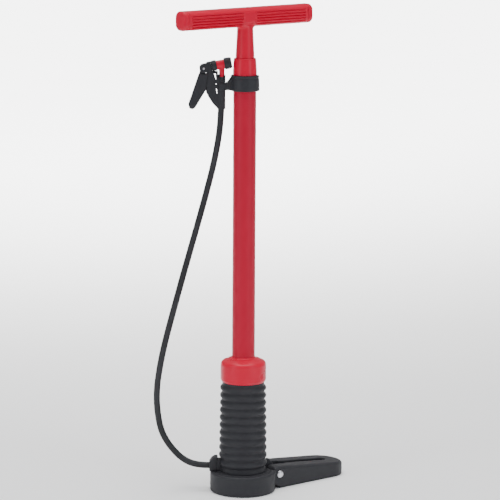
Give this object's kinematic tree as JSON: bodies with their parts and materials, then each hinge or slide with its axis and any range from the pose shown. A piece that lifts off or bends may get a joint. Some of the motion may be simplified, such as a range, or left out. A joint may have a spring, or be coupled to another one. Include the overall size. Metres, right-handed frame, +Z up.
{
  "type": "floor bike pump",
  "caption": "Upright floor pump with a T handle, red barrel, ribbed black housing on a round base, fold-out foot pedal and a hose whose lever head parks in a clip beside the barrel.",
  "frame": {"origin": "on the pump's axis at floor level, in the middle of the round base's underside", "axes": "+Z up along the barrel, +X towards the toe of the fold-out pedal, handle bar along X at rest; the hose and the parked head are 143 degrees round from +X"},
  "size_m": [0.271, 0.1165, 0.6425],
  "materials": {
    "red_gloss": "glossy red moulding",
    "red_paint": "red enamel on steel tube",
    "black_plastic": "satin black moulding",
    "black_rubber": "matt black rubber",
    "steel": "zinc plated",
    "chrome_rod": "polished chrome",
    "brass": "machined",
    "acetal": "natural white"
  },
  "bodies": {
    "root": {"housing_collar": "red_gloss", "barrel_cap": "red_gloss", "head_body": "red_gloss", "barrel": "red_paint", "base_cup": "black_plastic", "valve_block": "black_plastic", "ribbed_housing": "black_plastic", "parking_clip": "black_plastic", "nozzle_cap": "black_plastic", "head_nut": "black_plastic", "lever_housing": "black_plastic", "head_grip": "black_plastic", "hose": "black_rubber", "base_pad": "black_rubber", "barrel_oring": "black_rubber", "top_bumper": "black_rubber", "rod_wiper": "black_rubber", "nozzle_seal": "black_rubber", "base_screws": "steel", "check_spring": "steel", "lever_pin": "steel", "valve_seat": "brass", "base_fitting": "brass", "hose_fitting": "brass", "rod_guide": "acetal"},
    "piston_ring": {"piston_seal": "black_rubber"},
    "rod_and_handle": {"handle": "red_gloss", "handle_end_left": "red_gloss", "handle_end_right": "red_gloss", "handle_insert": "brass", "piston_rod": "chrome_rod", "piston_nut": "steel", "piston_washer_lower": "steel", "piston_washer_upper": "steel", "piston": "acetal"},
    "valve_ball": {"check_ball": "steel"},
    "foot_pedal": {"pedal": "black_plastic", "pedal_pin": "steel", "pin_ring": "steel"},
    "thumb_lever": {"lever": "black_plastic"},
    "chuck_plunger": {"head_plunger": "acetal"}
  },
  "joints": [
    {"name": "pump_stroke", "type": "slide", "parent": "root", "child": "piston_ring", "axis": [0, 0, 1], "range_m": [0, 0.468]},
    {"name": "handle_turn", "type": "hinge", "parent": "piston_ring", "child": "rod_and_handle", "pos_m": [0, 0, 0.63], "axis": [0, 0, 1], "continuous": true},
    {"name": "check_lift", "type": "slide", "parent": "root", "child": "valve_ball", "axis": [0, 0, -1], "range_m": [0, 0.002], "stiffness_N_per_m": 100, "springref_m": -0.002, "deforming": ["check_spring"]},
    {"name": "pedal_fold", "type": "hinge", "parent": "root", "child": "foot_pedal", "pos_m": [0.043, 0, 0.0195], "axis": [0, -1, 0], "range_deg": [0, 90]},
    {"name": "lever_flip", "type": "hinge", "parent": "root", "child": "thumb_lever", "pos_m": [-0.04265, 0.03214, 0.5635], "axis": [0.6018, 0.7986, 0], "range_deg": [0, 90]},
    {"name": "chuck_press", "type": "slide", "parent": "root", "child": "chuck_plunger", "axis": [0.7853, -0.5917, 0.1822], "range_m": [0, 0.0024]}
  ],
  "couplings": [
    {"joint": "chuck_press", "follows": "lever_flip", "m_per_rad": 0.0015278}
  ]
}
